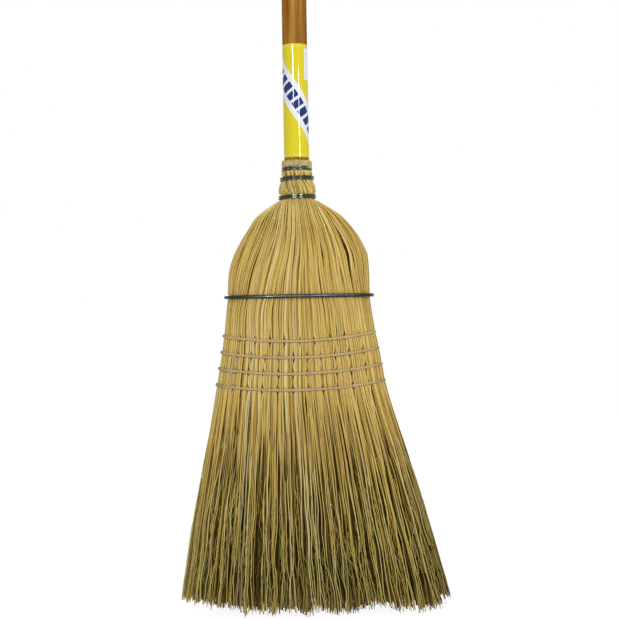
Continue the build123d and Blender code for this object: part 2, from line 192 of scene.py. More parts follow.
def strawFinish(name, look):
    material, shader, tone = newFinish(name)
    tint, along, deep = (mark(tone, name) for name in ("tint", "along", "deep"))
    # the tint, times a large number, puts each stalk in a place of its own in the noise
    streakPlace = tone.node("ShaderNodeCombineXYZ", {}, {0: along * 0.016, 1: tint * 611.0, 2: tint * 93.0})
    streak = tone.noise(streakPlace, 1.0, 3.0)
    fleckPlace = tone.node("ShaderNodeCombineXYZ", {}, {0: along * 0.21, 1: tint * 377.0, 2: 0.0})
    fleck = tone.noise(fleckPlace, 1.0, 2.0)
    height = objectPlace(tone).part(2)
    colour = (tint + (streak - 0.5) * look["streaks"]).ramp(*look["upper"])
    hue = tone.sum("FRACT", tint * 7.31, 0.0).ramp(*look["hues"])
    colour = tone.mix(1.0, colour, hue, "MULTIPLY")
    # paler where it is sewn and where it goes into the neck, and some ends are worn brown
    someEnds = tone.sum("FRACT", tint * 3.77, 0.0).fade(*look["endTints"])
    shades = {
        "tipShade": height.fade(*look["tipHeights"], 1.0, 0.0),
        "sewnShade": height.fade(*look["sewnFoot"]) * height.fade(*look["sewnTop"], 1.0, 0.0),
        "endShade": height.fade(*look["endHeights"], 1.0, 0.0) * someEnds,
        "neckShade": height.fade(*look["neckHeights"]),
        "fleckShade": fleck.fade(*look["fleckFrom"], 0.0, look["flecks"]),
        # the deep mark holds painted shade and a random darker tone
        "darkStrandsAndPaintedShade": deep,
    }
    for shade, share in shades.items():
        colour = tone.shaded(share, colour, look[shade])
    setInputs(shader, {
        "Base Color": colour,
        "Roughness": streak.fade(0.3, 0.7, *look["roughness"]),
        "Normal": fleck.bump(0.25, 0.0004),
        "IOR": 1.42, "Specular IOR Level": 0.1,
    })
    return material


strawMaterial = strawFinish("stalkStraw", strawLook)

# Cut ends at the top of the neck are paler
buttLook = dict(strawLook, neckShade=grey(1.0), upper=(
    (0.0, (0.42, 0.32, 0.12)),
    (0.5, (0.54, 0.44, 0.19)),
    (1.0, (0.65, 0.56, 0.28)),
))
buttMaterial = strawFinish("cutStraw", buttLook)


# Bed of straw between the stalks, near black below the neck as painted shade in the gaps: a ramp for each
# stretch, and the heights where it begins
bedLook = {
    "free": ((0.35, (0.014, 0.012, 0.002)), (0.75, (0.06, 0.046, 0.009))),
    "sewn": ((0.3, (0.042, 0.028, 0.006)), (0.7, (0.12, 0.08, 0.016))),
    "dome": ((0.3, (0.020, 0.014, 0.003)), (0.7, (0.075, 0.048, 0.009))),
    "neck": ((0.3, (0.17, 0.118, 0.042)), (0.7, (0.38, 0.28, 0.11))),
    "begins": {"sewn": (0.11, 0.27), "dome": (0.362, 0.385), "neck": (0.455, 0.475)},
}


def bedFinish(look):
    material, shader, tone = newFinish("strawBed")
    lines = longNoise(tone, 0.02, 620.0, 3.0)
    height = objectPlace(tone).part(2)
    colour = lines.ramp(*look["free"])
    for stretch, heights in look["begins"].items():
        colour = tone.mix(height.fade(*heights), colour, lines.ramp(*look[stretch]))
    setInputs(shader, {
        "Base Color": colour,
        "Normal": lines.bump(0.6, 0.001),
        "Roughness": 0.85, "Specular IOR Level": 0.0,
    })
    return material


bedMaterial = bedFinish(bedLook)


# Twine: unbleached, with darker hollows and pale fibres
twineLook = {
    "fibres": ((0.3, (0.32, 0.235, 0.10)), (0.5, (0.47, 0.36, 0.17)), (0.7, (0.58, 0.455, 0.24))),
    "soilAndEdgeTone": grey(0.62), "soil": 0.3,
    "edgeDarkening": 0.9, "edgeFrom": (0.078, 0.094),
}


def twineFinish(look):
    material, shader, tone = newFinish("sewingTwine")
    fibre = tone.noise(objectPlace(tone), 900.0, 3.0)
    soil = tone.noise(objectPlace(tone), 45.0, 2.0)
    colour = fibre.ramp(*look["fibres"])
    # darker at both edges
    edge = abs(objectPlace(tone).part(0)).fade(*look["edgeFrom"], 0.0, look["edgeDarkening"])
    darkened = tone.sum("MAXIMUM", soil.fade(0.45, 0.7, 0.0, look["soil"]), edge)
    colour = tone.shaded(darkened, colour, look["soilAndEdgeTone"])
    setInputs(shader, {
        "Base Color": colour,
        "Normal": fibre.bump(0.5, 0.0004),
        "Roughness": 0.9, "Sheen Weight": 0.2,
    })
    return material


# Wire: dark lacquer, worn to bare metal in places, with bare metal spots on the front that are painted
# highlights
wireLook = {
    "neck": {
        "lacquer": (0.020, 0.032, 0.018, 1.0),
        "bareMetalAndHighlight": (0.46, 0.485, 0.43, 1.0),
        "dull": (0.16, 0.175, 0.14, 1.0),  # duller bare metal of the upper turns, which also dims their painted highlights
        "dullFrom": (0.482, 0.490),
        "wornFrom": 0.64,
        "highlightSpots": ((-0.0030, 0.0031), (0.0046, 0.0020)),  # middle and half width of each painted highlight on the front
        "line": (0.5, 1.0),  # their height and half height
    },
    "band": {
        "lacquer": (0.003, 0.014, 0.010, 1.0),
        "bareMetalAndHighlight": (0.17, 0.215, 0.20, 1.0),
        "wornFrom": 0.78,
        # a painted highlight along the front of the band: its middle and half width, and its height and half
        # height
        "highlightSpots": ((-0.007, 0.064),),
        "line": (0.3622, 0.0009),
    },
}


def wireFinish(name, look):
    material, shader, tone = newFinish(name)
    place = objectPlace(tone)
    wear = tone.noise(place, 95.0, 1.0)
    wornAndHighlight = wear.fade(look["wornFrom"], look["wornFrom"] + 0.1)
    lineHeight, lineHalf = look["line"]
    line = abs(place.part(2) - lineHeight).fade(0.4 * lineHalf, lineHalf, 1.0, 0.0)
    # painted highlights: bare metal spots at fixed places across the front
    for middle, half in look["highlightSpots"]:
        off = abs(place.part(0) - middle)
        spot = off.fade(0.4 * half, half, 1.0, 0.0) * (place.part(1) < 0.0) * line
        wornAndHighlight = tone.sum("MAXIMUM", wornAndHighlight, spot * wear.fade(0.3, 0.55, 0.45, 1.0))
    bareMetalAndHighlight = look["bareMetalAndHighlight"]
    if "dull" in look:
        bareMetalAndHighlight = tone.mix(place.part(2).fade(*look["dullFrom"]), bareMetalAndHighlight, look["dull"])
    grain = tone.noise(place, 1400.0, 2.0)
    setInputs(shader, {
        "Base Color": tone.mix(wornAndHighlight, look["lacquer"], bareMetalAndHighlight),
        "Metallic": wornAndHighlight.fade(0.0, 1.0, 0.0, 0.95),
        "Roughness": grain.fade(0.3, 0.7, 0.15, 0.24),
        "Normal": grain.bump(0.05, 0.0002),
        "IOR": 1.5, "Specular IOR Level": 0.3,
    })
    return material


# Handle: lacquered wood with long grain lines, with painted shade on both sides and a painted highlight in a
# pale strip left of the middle
handleLook = {
    "pale": (0.385, 0.212, 0.042),
    "middle": (0.268, 0.119, 0.012),
    "dark": (0.17, 0.064, 0.005),
    "leftPaintedShade": (0.93, 0.80, 0.54, 1.0),
    "left": (-0.0080, -0.0055), "leftDarker": 0.03,
    "stripFrom": (-0.0068, -0.0050), "stripTo": (-0.0010, 0.0010), "stripHighlight": 0.042,
    "right": (0.0072, 0.0098), "rightDarker": 0.028,
    "pores": 0.55, "poreShade": grey(0.45),
}


def woodFinish(look):
    material, shader, tone = newFinish("lacqueredWood")
    broad = longNoise(tone, 0.035, 130.0, 2.0)
    fine = longNoise(tone, 0.012, 900.0, 4.0)
    pore = longNoise(tone, 0.03, 2600.0, 2.0)
    stripe = longNoise(tone, 0.02, 420.0, 2.0)
    across = objectPlace(tone).part(0)
    # painted shade on the left and right sides, and a painted highlight in the strip
    left = across.fade(*look["left"], 1.0, 0.0)
    strip = across.fade(*look["stripFrom"], 0.0, look["stripHighlight"]) * across.fade(*look["stripTo"], 1.0, 0.0)
    right = across.fade(*look["right"], 0.0, -look["rightDarker"])
    grain = broad * 0.42 + stripe * 0.34 + fine * 0.24
    figure = grain - left * look["leftDarker"] + strip + right
    colour = figure.ramp((0.40, look["dark"]), (0.48, look["middle"]), (0.57, look["pale"]))
    colour = tone.shaded(left, colour, look["leftPaintedShade"])
    colour = tone.shaded(pore.fade(0.6, 0.72, 0.0, look["pores"]), colour, look["poreShade"])
    setInputs(shader, {
        "Base Color": colour,
        "Roughness": fine.fade(0.3, 0.7, 0.3, 0.46),
        "Normal": fine.bump(0.12, 0.0004),
        "Coat Weight": 0.16, "Coat Roughness": 0.34, "Specular IOR Level": 0.0,
    })
    return material


# Label: yellow film with a white slanted band, plain blue blocks on it, a white patch and pale edge lines
labelLook = {
    "yellow": (0.60, 0.51, 0.003, 1.0),
    "edge": (0.62, 0.57, 0.16, 1.0),
    "white": (0.66, 0.68, 0.72, 1.0),
    "blue": (0.004, 0.018, 0.13, 1.0),
    "foot": 0.5206, "top": 0.6500,
    "edgeLine": (0.0024, 0.0032),  # from each end
    "bandMiddle": 0.5857, "bandDrop": 1.45, "bandHalf": 0.0221,
    "blockHalf": 0.0115, "blockPitch": 0.0112, "blockShare": 0.72,
    "patchAround": (0.0115, 0.034), "patchHeights": (0.6090, 0.6450),
    "radius": 0.0144, "scuffs": 0.2,
}


def labelFinish(look):
    material, shader, tone = newFinish("labelFilm")
    place = objectPlace(tone)
    height = place.part(2)
    around = tone.sum("ARCTAN2", place.part(0), 0.0 - place.part(1)) * look["radius"]
    off = abs(height - (look["bandMiddle"] - around * look["bandDrop"]))
    band = off < look["bandHalf"]
    run = (around - height * look["bandDrop"]) * (1.0 / math.hypot(1.0, look["bandDrop"]))
    block = tone.sum("FRACT", run * (1.0 / look["blockPitch"]), 0.0) < look["blockShare"]
    blocks = (off < look["blockHalf"]) * block
    toEnd = tone.sum("MINIMUM", height - look["foot"], look["top"] - height)
    edge = toEnd.within(*look["edgeLine"])
    patch = around.within(*look["patchAround"]) * height.within(*look["patchHeights"])
    colour = tone.mix(edge, look["yellow"], look["edge"])
    colour = tone.mix(tone.sum("MAXIMUM", band, patch), colour, look["white"])
    colour = tone.mix(blocks, colour, look["blue"])
    crease = longNoise(tone, 0.25, 90.0, 2.0)
    scuff = longNoise(tone, 0.3, 420.0, 4.0)
    colour = tone.mix(scuff.fade(0.62, 0.8, 0.0, look["scuffs"]), colour, grey(0.55))
    setInputs(shader, {
        "Base Color": colour,
        "Roughness": scuff.fade(0.35, 0.75, 0.16, 0.34),
        "Normal": crease.bump(0.08, 0.0012),
        "Coat Weight": 0.6, "Coat Roughness": 0.06, "Specular IOR Level": 0.0,
    })
    return material


print("finishes made")


# Heights of the straw in mm are from the line that it is trimmed to; stray tips reach the floor below it
trimLine = 8.0

# Shape of the head, from the trim line up: each pair is a height and the size there
headShape = {
    "left": (
        (0.0, 139.8), (109.0, 122.8), (238.0, 99.0), (311.5, 87.0), (353.0, 82.6),
        (378.5, 81.0), (397.0, 76.5), (433.6, 56.2), (443.0, 49.8), (461.0, 26.2),
    ),
    "right": (
        (0.0, 168.6), (164.5, 124.4), (256.5, 97.6), (275.0, 94.4), (353.0, 82.0),
        (397.0, 80.6), (415.0, 73.6), (443.0, 53.0), (461.0, 27.0),
    ),
    "halfDepth": ((0.0, 35.0), (201.0, 25.6), (256.5, 23.2), (397.0, 25.9), (452.0, 25.2), (461.0, 23.6)),
    "square": ((0.0, 2.3), (406.0, 2.3), (452.0, 2.06), (461.0, 2.0), (512.0, 2.0)),
}
# The neck is round and drawn in at each wire
neckRadii = (
    (465.0, 20.0), (469.5, 20.0), (473.5, 21.9), (483.0, 20.5), (487.0, 17.5), (491.0, 17.4),
    (494.4, 18.7), (498.0, 15.7), (501.5, 15.7), (505.0, 17.3), (512.0, 16.9),
)
levels = np.arange(0.0, 513.0)


def sizesByHeight(points):
    # a curve through the points with no overshoot
    heights, sizes = np.array(points).T
    steps = np.diff(heights)
    slopes = np.diff(sizes) / steps
    before, after = 2 * steps[1:] + steps[:-1], steps[1:] + 2 * steps[:-1]
    turning = slopes[:-1] * slopes[1:] <= 0
    safe = np.where(slopes == 0, 1.0, slopes)
    inner = (before + after) / (before / safe[:-1] + after / safe[1:])
    lean = np.concatenate([slopes[:1], np.where(turning, 0.0, inner), slopes[-1:]])
    spot = np.clip(np.searchsorted(heights, levels, side="right") - 1, 0, len(steps) - 1)
    step = steps[spot]
    t = (levels - heights[spot]) / step
    rise = sizes[spot] * (2 * t**3 - 3 * t**2 + 1) + sizes[spot + 1] * (3 * t**2 - 2 * t**3)
    return rise + step * (lean[spot] * (t**3 - 2 * t**2 + t) + lean[spot + 1] * (t**3 - t**2))


leftReach, rightReach, halfDepths = (
    sizesByHeight(headShape[key] + neckRadii) for key in ("left", "right", "halfDepth")
)
squareness = sizesByHeight(headShape["square"])


def sizeAt(sizes, z):
    return np.interp(z, levels, sizes)


def rounded(angle, square):
    return (np.sign(part) * np.abs(part) ** (2 / square) for part in (np.cos(angle), np.sin(angle)))


# for every height, the angle at each share of the way round: 0 left edge, 0.25 front, 0.5 right edge
shares = np.linspace(0.0, 1.0, 257)
angles = np.linspace(0.0, 2 * math.pi, 721)
angleTable = []
girths = []
for level in range(len(levels)):
    across, deep = rounded(angles, squareness[level])
    reach = np.where(across > 0, leftReach[level], rightReach[level])
    run = np.hypot(np.diff(across * reach), np.diff(deep * halfDepths[level]))
    length = np.concatenate([[0.0], np.cumsum(run)])
    girths.append(length[-1])
    angleTable.append(np.interp(shares, length / length[-1], angles))
angleTable = np.array(angleTable)
girths = np.array(girths)


def onOutline(share, z, inset):
    # the point at a share of the way round the head, drawn in by inset
    share = np.mod(share, 1.0)
    level = np.clip(z, 0.0, levels[-1] - 0.001)
    low = level.astype(int)
    rise = level - low
    place = share * (len(shares) - 1)
    step = np.minimum(place.astype(int), len(shares) - 2)
    part = place - step
    lower, upper = (
        angleTable[row, step] * (1 - part) + angleTable[row, step + 1] * part for row in (low, low + 1)
    )
    angle = lower * (1 - rise) + upper * rise
    across, deep = rounded(angle, sizeAt(squareness, level))
    reach = np.where(across > 0, sizeAt(leftReach, level), sizeAt(rightReach, level))
    y = -deep * np.maximum(sizeAt(halfDepths, level) - inset, 0.5)
    return -across * (reach - inset), y


def ease(value, low, high):
    t = np.clip((value - low) / (high - low), 0.0, 1.0)
    return t * t * (3 - 2 * t)


def downFrom(z, top, over):
    # 0 at the top, 1 at a length below it
    return ease(top - z, 0.0, over)


def hump(off, width):
    return np.exp(-((off / width) ** 2))


def apart(share, spot):
    # the way round from a spot to a share, from -0.5 to 0.5
    return np.mod(share - spot + 0.5, 1.0) - 0.5


def nearest(share, spots):
    return np.argmin(np.abs(apart(share[:, None], spots[None, :])), axis=1)


def drawn(ends, count=None):
    return dice.uniform(*ends, count)


def evenShares(source, count, jitter):
    return (np.arange(count) + source.uniform(-jitter, jitter, count)) / count


# Sewing: four rows of twine that sag in the middle, stitched through at a pitch
sewing = {
    "rows": 4, "firstRow": 311.0, "rowPitch": 18.5,
    "sag": 8.0, "tilt": 1.2,
    "stitchPitch": 16.5,
    "reach": (76.7, 79.9, 83.2, 86.6),  # half width of the stitches in each row
    "twine": 1.4,  # about half the thickness of both plies
    "stitchTwine": 0.6,  # shares of that for stitches and links
    "linkTwine": 0.75,
    "plies": 2, "plyOff": 0.36, "plyRadius": 0.68,
    "lay": 5.5, "step": 0.8,
    "out": 0.35, "sunkEnd": 1.0, "drift": 1.3, "rise": 1.8,
    "linkPlace": -0.22,  # in stitches from the first one
}
# How stitches push the stalks aside, and how twine and wire press them in
pressing = {
    "hole": 1.5, "holeHeight": 3.6, "holeWidth": 2.8, "holeSide": 0.18,
    "pastEnd": 2.0, "endFade": 6.0,
    "tail": 0.6, "tailUp": 7.0, "tailDown": 10.0, "lastTail": 34.0,
    "twine": 0.8, "twineHeight": 2.4,
    "wire": 0.9, "wirePlace": 354.0, "wireHeight": 4.8,
}
stitchCounts = [round(2 * reach / sewing["stitchPitch"]) for reach in sewing["reach"]]


def rowHeight(row, x):
    height = sewing["firstRow"] - row * sewing["rowPitch"]
    share = x / sizeAt(rightReach, height)
    return height - sewing["sag"] * (1 - share**2) + sewing["tilt"] * share


def sewnIn(x, z):
    aside = np.zeros_like(x)
    pressed = pressing["wire"] * hump(z - pressing["wirePlace"], pressing["wireHeight"])
    for row in range(sewing["rows"]):
        reach = sewing["reach"][row]
        cell = 2 * reach / stitchCounts[row]
        above = z - rowHeight(row, x)
        fade = np.clip((reach + pressing["pastEnd"] - np.abs(x)) / pressing["endFade"], 0.0, 1.0)
        off = (np.mod((x + reach) / cell, 1.0) - 0.5) * cell
        tailDown = pressing["lastTail"] if row == sewing["rows"] - 1 else pressing["tailDown"]
        tail = hump(above, np.where(above > 0, pressing["tailUp"], tailDown))
        push = pressing["hole"] * hump(above, pressing["holeHeight"]) + pressing["tail"] * tail
        push = push * np.exp(-np.abs(off) / pressing["holeWidth"])
        aside += fade * np.tanh(off / pressing["holeSide"]) * push
        pressed += pressing["twine"] * hump(above, pressing["twineHeight"])
    return aside, pressed


# Slits: places where the stalks part and show the dark inside, the longest towards the shoulders
slits = {
    "shoulders": {
        "count": 24, "heights": (388.0, 424.0), "lengths": (26.0, 52.0), "widths": (1.5, 2.7),
        "near": (0.072, 0.428, 0.572, 0.928), "within": 0.036,
    },
    "dome": {"count": 88, "heights": (368.0, 430.0), "lengths": (10.0, 28.0), "widths": (0.45, 1.5)},
    "rows": {"count": 26, "heights": (262.0, 345.0), "lengths": (7.0, 22.0), "widths": (0.2, 0.75)},
    "free": {"count": 120, "heights": (204.0, 244.0), "lengths": (12.0, 30.0), "widths": (0.6, 1.5)},
}
slitEdge = {"side": 0.35, "reach": 2.4}
slitLines = []
for slit in slits.values():
    if "near" in slit:
        spots = np.tile(slit["near"], slit["count"] // len(slit["near"]))
        spots = spots + dice.uniform(-slit["within"], slit["within"], slit["count"])
    else:
        spots = dice.random(slit["count"])
    sizes = [drawn(slit[key], slit["count"]) for key in ("heights", "lengths", "widths")]
    slitLines.append(np.column_stack([spots, *sizes]))
slitLines = np.concatenate(slitLines)


def parted(share, z, girth):
    # a stalk keeps to the side of a slit that it is on at the slit's middle
    aside = np.zeros_like(z)
    each = np.arange(len(z))
    for spot, height, length, width in slitLines:
        middle = np.argmin(np.abs(z - height), axis=1)
        off = apart(share[each, middle], spot) * girth[each, middle]
        off = off[:, None]
        near = np.exp(-(((z - height) / length) ** 2) - np.abs(off) / slitEdge["reach"])
        aside += np.tanh(off / slitEdge["side"]) * width * near
    return aside


# Tufts that the free straw gathers into
tufts = {
    "count": 58, "jitter": 0.42,
    "pull": 0.3, "pullSpread": (0.5, 1.5),
    "gather": (240.0, 215.0),  # from a height down, over a length
    "tipSpread": 3.8, "tipLimits": (-6.5, 2.8),
    "sides": 4.5,  # how much shorter a tuft is to its sides
    "depth": 4.0, "proud": 13.0,
}
tuftShares = np.sort(evenShares(dice, tufts["count"], tufts["jitter"]))
tuftTips = np.clip(dice.normal(0.0, tufts["tipSpread"], tufts["count"]), *tufts["tipLimits"])
tuftPulls = tufts["pull"] * drawn(tufts["pullSpread"], tufts["count"])
tuftDepths = tufts["depth"] - tufts["proud"] * dice.random(tufts["count"]) ** 2


# Locks: a few strands that lie together, with a dark gap beside them
locks = {
    "count": 136, "jitter": 0.4,
    "pull": 0.5, "pullSpread": (0.5, 1.4), "hold": (238.0, 120.0),
    "sway": (1.6, 0.6), "spans": (95.0, 46.0), "loose": (215.0, 195.0),
}
stretchSpread = (0.7, 1.4)
swaySpread = (0.3, 1.0)
lockDice = np.random.default_rng(5)
lockShares = evenShares(lockDice, locks["count"], locks["jitter"])
lockPulls = locks["pull"] * lockDice.uniform(*locks["pullSpread"], locks["count"])
lockPhases = lockDice.uniform(0.0, 2 * math.pi, (2, locks["count"]))
lockStretch = lockDice.uniform(*stretchSpread, (2, locks["count"]))
lockSizes = lockDice.uniform(*swaySpread, (2, locks["count"]))


def lockSway(lock, z):
    # the strands of a lock wander together
    total = np.zeros_like(z)
    for k, (span, size) in enumerate(zip(locks["spans"], locks["sway"])):
        turn = 2 * math.pi * z / (span * lockStretch[k, lock][:, None]) + lockPhases[k, lock][:, None]
        total += size * lockSizes[k, lock][:, None] * np.sin(turn)
    return total * downFrom(z, *locks["loose"])


def wander(z, spans, sizes):
    # slow sideways wander of each stalk along its length
    total = np.zeros_like(z)
    each = (len(z), 1)
    for span, size in zip(spans, sizes):
        phase = dice.uniform(0, 2 * math.pi, each)
        length = span * drawn(stretchSpread, each)
        total += size * drawn(swaySpread, each) * np.sin(2 * math.pi * z / length + phase)
    return total


# The cut: lowest near the middle, higher to both corners; each step is a rise and where it begins and ends
cut = {
    "middle": -5.0, "leftRise": 8.0,
    "steps": ((8.0, 52.0, 68.0), (-3.5, 15.0, 40.0), (-7.5, 100.0, 134.0), (10.0, 143.0, 165.0)),
    "offFloor": 0.4,
}
lowestTip = cut["offFloor"] - trimLine


def trimmed(x):
    left = cut["leftRise"] * np.maximum(-x / leftReach[0], 0.0) ** 2
    right = np.zeros_like(x)
    for rise, begin, end in cut["steps"]:
        right = right + rise * ease(x, begin, end)
    return left + right + cut["middle"]


def tipHeights(share, tuft, scatter):
    x, y = onOutline(share, np.zeros_like(share), 0.0)
    off = np.abs(apart(share, tuftShares[tuft])) * tufts["count"] * 2
    tips = trimmed(x) + tuftTips[tuft] + tufts["sides"] * np.minimum(off, 1.5) ** 2
    tips = tips + np.abs(dice.normal(0.0, scatter, len(share)))
    return np.maximum(tips, lowestTip)


def shortened(tips, values):
    # some end higher up
    short = dice.random(len(tips)) < values["shortShare"]
    return np.where(short, tips + drawn(values["shortBy"], len(tips)), tips)


# Fan: on the front and back, stalks near the middle run straight from the neck to below the band
fan = {"top": 465.0, "foot": 335.0, "topReach": 21.0, "widening": 63.3, "leastSlope": 0.5}


def fanned(share, z):
    face = np.where(np.mod(share, 1.0) < 0.5, 0.25, 0.75)
    off = (np.mod(share, 1.0) - face) / 0.25
    straight = fan["topReach"] + fan["widening"] * (fan["top"] - z) / (fan["top"] - fan["foot"])
    slope = np.clip(straight / sizeAt((leftReach + rightReach) / 2, z), fan["leastSlope"], 1.0)
    slope = np.where((z > fan["foot"]) & (z < fan["top"]), slope, 1.0)
    return face + 0.25 * (slope * off + (1 - slope) * off**3)


def freeLine(share, z, inset, tuft, sway):
    # a stalk's path: gathered by its tuft below the last row, parted by the stitches above
    gather = downFrom(z, *tufts["gather"]) * tuftPulls[tuft][:, None]
    toTuft = apart(tuftShares[tuft][:, None], share)
    lock = nearest(share[:, -1], lockShares)
    hold = downFrom(z, *locks["hold"]) * lockPulls[lock][:, None]
    toLock = apart(lockShares[lock][:, None], share)
    girth = sizeAt(girths, z)
    moved = fanned(share + toTuft * gather + toLock * hold + (sway + lockSway(lock, z)) / girth, z)
    moved = moved + parted(moved, z, girth) / girth
    x, y = onOutline(moved, z, inset)
    aside, pressed = sewnIn(x, z)
    x, y = onOutline(moved, z, inset + pressed + tuftDepths[tuft][:, None] * gather)
    return np.stack([x + aside, y, z], axis=2)


# Edges: low down, the left edge is lightened as painted light and the right edge is darkened as painted shade
edgeTones = {
    "low": (225.0, 110.0),
    "leftPaintedLight": 0.8, "leftPaintedLightWidth": 0.035,
    "darkened": 0.5, "darkenedWidth": 0.03,
}


def edgeShade(deep, share, z):
    low = downFrom(z, *edgeTones["low"])
    toLeft = np.abs(apart(share, 0.0))
    toRight = np.abs(np.mod(share, 1.0) - 0.5)
    # painted light on the left edge, painted shade on the right edge
    leftPaintedLight = edgeTones["leftPaintedLight"] * hump(toLeft, edgeTones["leftPaintedLightWidth"])
    darkened = edgeTones["darkened"] * hump(toRight, edgeTones["darkenedWidth"])
    return np.clip(deep * (1 - leftPaintedLight[:, None] * low) + darkened[:, None] * low, 0.0, 1.0)


def placed(name, data):
    made = bpy.data.objects.new(name, data)
    scene.collection.objects.link(made)
    return made


def bmeshPiece(name, mesh, material):
    data = bpy.data.meshes.new(name)
    mesh.to_mesh(data)
    mesh.free()
    data.materials.append(material)
    return placed(name, data)


def strawPiece(name, lines, radii, marks, material=strawMaterial):
    # stalks as tubes of four sides, each with its own marks
    curve = bpy.data.curves.new(name + "Lines", "CURVE")
    curve.dimensions = "3D"
    curve.bevel_depth = 1.0
    curve.bevel_resolution = 0
    curve.use_fill_caps = True
    for line, radius in zip(lines, radii):
        spline = curve.splines.new("POLY")
        spline.points.add(len(line) - 1)
        points = (line + (0.0, 0.0, trimLine)) * mm
        weighted = np.column_stack([points, np.ones(len(line))])
        spline.points.foreach_set("co", weighted.astype(np.float32).ravel())
        spline.points.foreach_set("radius", (radius * mm).astype(np.float32))
    holder = bpy.data.objects.new(name + "Lines", curve)
    mesh = bpy.data.meshes.new_from_object(holder)
    bpy.data.objects.remove(holder)
    bpy.data.curves.remove(curve)
    mesh.name = name
    for markName, values in marks.items():
        # the caps come first, from the last stalk to the first, and then the rings
        rings = [np.broadcast_to(value, len(line)) for value, line in zip(values, lines)]
        caps = [ring[[-1, 0]] for ring in reversed(rings)]
        attribute = mesh.attributes.new(markName, "FLOAT", "POINT")
        attribute.data.foreach_set("value", np.repeat(np.concatenate(caps + rings), 4).astype(np.float32))
    mesh.polygons.foreach_set("use_smooth", np.ones(len(mesh.polygons), bool))
    mesh.materials.append(material)
    print(name, "stalks", len(lines), "faces", len(mesh.polygons))
    return placed(name, mesh)


def bends(piece, slot, *stoodFor):
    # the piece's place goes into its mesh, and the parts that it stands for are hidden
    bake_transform(piece)
    if stoodFor:
        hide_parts(*stoodFor)


# Bound stalks: from the neck, or from under it, over the shoulders and down through the rows
stalks = {
    "layers": {"whole": (130, 0.0), "filler": (210, 0.1), "second": (250, 1.1), "deep": (200, 2.3)},
    "jitter": 0.42,
    "radius": (0.5, 1.2),
    "tipRadius": 0.70, "tipFrom": (250.0, 100.0),
    "thinnest": 0.78, "fullGirth": 230.0,  # thinner where the head is narrow
    "tipScatter": 2.0,
    "higherTips": 4.0,  # of two stalks in three
    "shortShare": 0.2, "shortBy": (10.0, 120.0),
    "sway": ((150.0, 62.0), (0.5, 0.15)),  # spans and sizes
    "looseSway": ((85.0, 42.0), (0.9, 0.5)), "loose": (195.0, 195.0),
    "freeFrom": 243.0,
    "buttsFrom": 501.5, "buttEnds": (-2.5, 0.8),
    "neckTwist": 0.085, "twistSpread": (0.6, 1.5), "twistHeights": (462.0, 500.0),
    "emergeDepth": 2.2, "emergeHeights": (395.0, 456.0),
    "layerDepths": 0.5,
    "sunkLittle": (0.0, 0.7),  # one stalk in three, low down
    "sunkMuch": (2.2, 7.0),
    "sunkFrom": (154.0, 238.0), "sunkOver": 70.0,
    "skew": 1.2,
    # painted shade on stalks in deeper layers and on sunk stalks
    "layerPaintedShade": 0.13, "sunkPaintedShade": 0.4,
    "lowShade": 0.85, "lowFrom": (258.0, 130.0),
    "edgeShare": 0.058,  # of the way round, to both sides of each edge
}
neckHeights = np.linspace(509.0, 464.0, 14)
upperHeights = np.concatenate([np.linspace(461.0, 440.0, 8), np.linspace(432.0, 330.0, 11)])
sewnHeights = np.linspace(321.0, stalks["freeFrom"], 25)
freeHeights = np.linspace(232.0, 0.0, 16)
bound = {"line": [], "radius": [], "share": []}
boundMarks = {"tint": [], "along": [], "deep": []}

